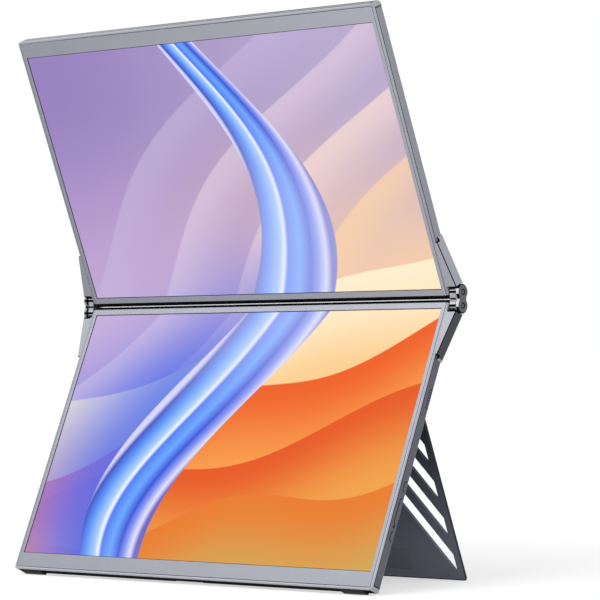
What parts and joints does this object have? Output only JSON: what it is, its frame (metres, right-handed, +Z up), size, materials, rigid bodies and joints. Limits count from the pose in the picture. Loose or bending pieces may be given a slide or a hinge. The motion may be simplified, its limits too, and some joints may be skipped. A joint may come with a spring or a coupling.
{
  "type": "laptop screen extender",
  "caption": "Folding portable display: upper and lower screens joined by a two-axis friction hinge, with rubber feet and a swing-out kickstand.",
  "frame": {"origin": "centre of the footprint on the surface that the part stands on, as it stands open", "axes": "+X to the viewer's right along the hinge, +Y away from the viewer, +Z up"},
  "size_m": [0.3746, 0.1098, 0.4022],
  "materials": {
    "aluminium_cover": "bead-blasted, anodised cool grey",
    "aluminium_bezel": "bead-blasted, anodised cool grey",
    "screen": "lit display under a smooth front film",
    "light_guide": "milky diffuser",
    "sheet_steel": "zinc-plated sheet",
    "blackened_steel": "black oxide",
    "hinge_metal": "polished and anodised grey",
    "cap_metal": "anodised dark grey with a polished rim",
    "spine_metal": "satin with a bright front edge",
    "bright_steel": "ground and nickel-plated",
    "gear_brass": "sintered",
    "circuit_board": "green solder mask",
    "chip_plastic": "moulded epoxy",
    "kickstand_metal": "bead-blasted, anodised dark grey",
    "rubber": "matte",
    "wire_jacket": "satin jacket"
  },
  "bodies": {
    "lower_panel": {"lower_back_cover": "aluminium_cover", "lower_bezel": "aluminium_bezel", "lower_screen_glass": "screen", "lower_backlight": "light_guide", "lower_screen_tray": "sheet_steel", "lower_ear_left": "aluminium_cover", "lower_ear_right": "aluminium_cover", "lower_hinge_brackets": "blackened_steel", "lower_bracket_screws": "blackened_steel", "lower_shafts": "bright_steel", "lower_gear": "gear_brass", "lower_cable": "wire_jacket", "main_board": "circuit_board", "board_chips": "chip_plastic", "button_board": "circuit_board", "speakers": "chip_plastic", "usb_c_sockets": "bright_steel", "socket_tongues": "chip_plastic", "lamp_light_pipe": "light_guide", "foot_pads": "rubber"},
    "power_button": {"power_button": "aluminium_cover"},
    "level_rocker": {"level_rocker": "aluminium_cover"},
    "menu_button": {"menu_button": "aluminium_cover"},
    "kickstand": {"kickstand_plate": "kickstand_metal", "kickstand_pin": "bright_steel", "kickstand_foot_strip": "rubber", "kickstand_grip_pad": "rubber"},
    "hinge_link": {"link_housing_left": "hinge_metal", "link_housing_right": "hinge_metal", "link_cap_left": "cap_metal", "link_cap_right": "cap_metal", "spine_bar": "spine_metal", "spine_screws": "blackened_steel", "friction_discs": "bright_steel", "link_cable": "wire_jacket"},
    "upper_panel": {"upper_back_cover": "aluminium_cover", "upper_bezel": "aluminium_bezel", "upper_screen_glass": "screen", "upper_backlight": "light_guide", "upper_screen_tray": "sheet_steel", "upper_ear_left": "aluminium_cover", "upper_ear_right": "aluminium_cover", "upper_hinge_brackets": "blackened_steel", "upper_bracket_screws": "blackened_steel", "upper_shafts": "bright_steel", "upper_gear": "gear_brass", "upper_cable": "wire_jacket", "driver_board": "circuit_board", "driver_chips": "chip_plastic"}
  },
  "joints": [
    {"name": "lower_pivot", "type": "hinge", "parent": "lower_panel", "child": "hinge_link", "pos_m": [0, 0.03983, 0.19282], "axis": [-1, 0, 0], "range_deg": [-67.5, 82.5]},
    {"name": "upper_pivot", "type": "hinge", "parent": "hinge_link", "child": "upper_panel", "pos_m": [0, 0.04033, 0.20231], "axis": [-1, 0, 0], "range_deg": [-67.5, 82.5]},
    {"name": "kickstand_hinge", "type": "hinge", "parent": "lower_panel", "child": "kickstand", "pos_m": [0, 0.01029, 0.12392], "axis": [1, 0, 0], "range_deg": [-44.86, 15.14]},
    {"name": "power_press", "type": "slide", "parent": "lower_panel", "child": "power_button", "axis": [-1, 0, 0], "range_m": [0, 0.00035], "stiffness_N_per_m": 600},
    {"name": "menu_press", "type": "slide", "parent": "lower_panel", "child": "menu_button", "axis": [-1, 0, 0], "range_m": [0, 0.00035], "stiffness_N_per_m": 600},
    {"name": "level_rock", "type": "hinge", "parent": "lower_panel", "child": "level_rocker", "pos_m": [0.17568, -0.02492, 0.05474], "axis": [0, 0.9026, -0.4305], "range_deg": [-2, 2], "stiffness_Nm_per_rad": 0.4}
  ],
  "couplings": [
    {"joint": "upper_pivot", "follows": "lower_pivot", "ratio": 1}
  ]
}
